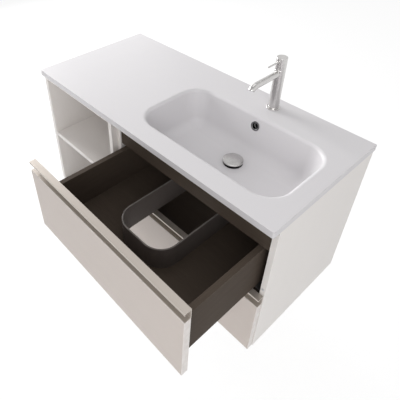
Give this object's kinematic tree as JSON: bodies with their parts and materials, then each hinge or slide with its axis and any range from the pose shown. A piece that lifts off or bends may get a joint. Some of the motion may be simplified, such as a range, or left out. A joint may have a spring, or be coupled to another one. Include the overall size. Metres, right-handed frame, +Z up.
{
  "type": "floating vanity",
  "caption": "Wall-hung washbasin vanity with an open shelf unit beside two drawers, the upper one cut out around the bottle trap, and a single-lever mixer.",
  "frame": {"origin": "centre of the drawer unit's four wall bolts, on the wall plane", "axes": "+X to the right along the top's length, +Y into the wall, +Z up; the fronts face -Y"},
  "size_m": [1, 0.759, 0.689],
  "materials": {
    "solid_surface": "satin white cast mineral",
    "carcass_board": "white matt laminated board",
    "front_board": "warm white matt lacquered board",
    "graphite_board": "graphite linen-structure laminated board",
    "graphite_plastic": "graphite bent plastic strip",
    "handle_aluminium": "champagne satin anodised",
    "satin_steel": "brushed stainless steel",
    "chrome": "polished chrome",
    "brass": "machined",
    "zinc_steel": "zinc plated",
    "grey_plastic": "moulded grey",
    "clear_rubber": "soft translucent"
  },
  "bodies": {
    "cabinet": {"basin_top": "solid_surface", "overflow_ring": "chrome", "overflow_elbow": "grey_plastic", "overflow_hose": "grey_plastic", "waste_body": "chrome", "waste_collar": "grey_plastic", "waste_nut": "grey_plastic", "trap_inlet_nut": "chrome", "trap_body": "chrome", "trap_cup": "chrome", "trap_outlet_pipe": "chrome", "wall_rosette": "chrome", "mixer_base_ring": "satin_steel", "mixer_body": "satin_steel", "mixer_spout": "satin_steel", "spout_aerator": "chrome", "mixer_shank": "brass", "mixer_nut": "brass", "mixer_cartridge": "grey_plastic", "open_unit_left_side": "carcass_board", "open_unit_right_side": "carcass_board", "open_unit_top": "carcass_board", "open_unit_bottom": "carcass_board", "open_unit_back": "carcass_board", "open_unit_shelf": "carcass_board", "shelf_pins": "zinc_steel", "drawer_unit_left_side": "carcass_board", "drawer_unit_right_side": "carcass_board", "drawer_unit_bottom": "carcass_board", "front_stretcher": "graphite_board", "rear_stretcher": "carcass_board", "wall_batten": "carcass_board", "wall_rails": "zinc_steel", "cabinet_hangers": "zinc_steel", "unit_connector_bolts": "zinc_steel", "front_buffers": "clear_rubber", "upper_cabinet_rails": "zinc_steel", "lower_cabinet_rails": "zinc_steel"},
    "upper_drawer": {"upper_front_panel": "front_board", "upper_handle_profile": "handle_aluminium", "upper_left_side": "graphite_board", "upper_right_side": "graphite_board", "upper_back_pieces": "graphite_board", "upper_bottom": "graphite_board", "siphon_guard": "graphite_plastic", "upper_drawer_rails": "zinc_steel"},
    "upper_runner": {"upper_middle_rails": "zinc_steel"},
    "lower_drawer": {"lower_front_panel": "front_board", "lower_handle_profile": "handle_aluminium", "lower_left_side": "graphite_board", "lower_right_side": "graphite_board", "lower_back": "graphite_board", "lower_bottom": "graphite_board", "lower_drawer_rails": "zinc_steel"},
    "lower_runner": {"lower_middle_rails": "zinc_steel"},
    "waste_plug": {"waste_cap": "satin_steel"},
    "mixer_turntable": {"cartridge_turntable": "grey_plastic"},
    "mixer_lever": {"cartridge_stem": "brass", "mixer_cap": "satin_steel", "lever_pin": "satin_steel"}
  },
  "joints": [
    {"name": "upper_drawer_slide", "type": "slide", "parent": "cabinet", "child": "upper_drawer", "axis": [0, -1, 0], "range_m": [-0.275, 0.105]},
    {"name": "upper_runner_slide", "type": "slide", "parent": "cabinet", "child": "upper_runner", "axis": [0, -1, 0], "range_m": [-0.1375, 0.0525]},
    {"name": "lower_drawer_slide", "type": "slide", "parent": "cabinet", "child": "lower_drawer", "axis": [0, -1, 0], "range_m": [0, 0.38]},
    {"name": "lower_runner_slide", "type": "slide", "parent": "cabinet", "child": "lower_runner", "axis": [0, -1, 0], "range_m": [0, 0.19]},
    {"name": "waste_cap_slide", "type": "slide", "parent": "cabinet", "child": "waste_plug", "axis": [0, 0, -1], "range_m": [0, 0.007]},
    {"name": "lever_swivel", "type": "hinge", "parent": "cabinet", "child": "mixer_turntable", "pos_m": [0.003, -0.055, 0.4], "axis": [0, 0, 1], "range_deg": [-45, 45]},
    {"name": "lever_lift", "type": "hinge", "parent": "mixer_turntable", "child": "mixer_lever", "pos_m": [0.003, -0.055, 0.40275], "axis": [-1, 0, 0], "range_deg": [0, 15]}
  ],
  "couplings": [
    {"joint": "upper_runner_slide", "follows": "upper_drawer_slide", "ratio": 0.5},
    {"joint": "lower_runner_slide", "follows": "lower_drawer_slide", "ratio": 0.5}
  ]
}
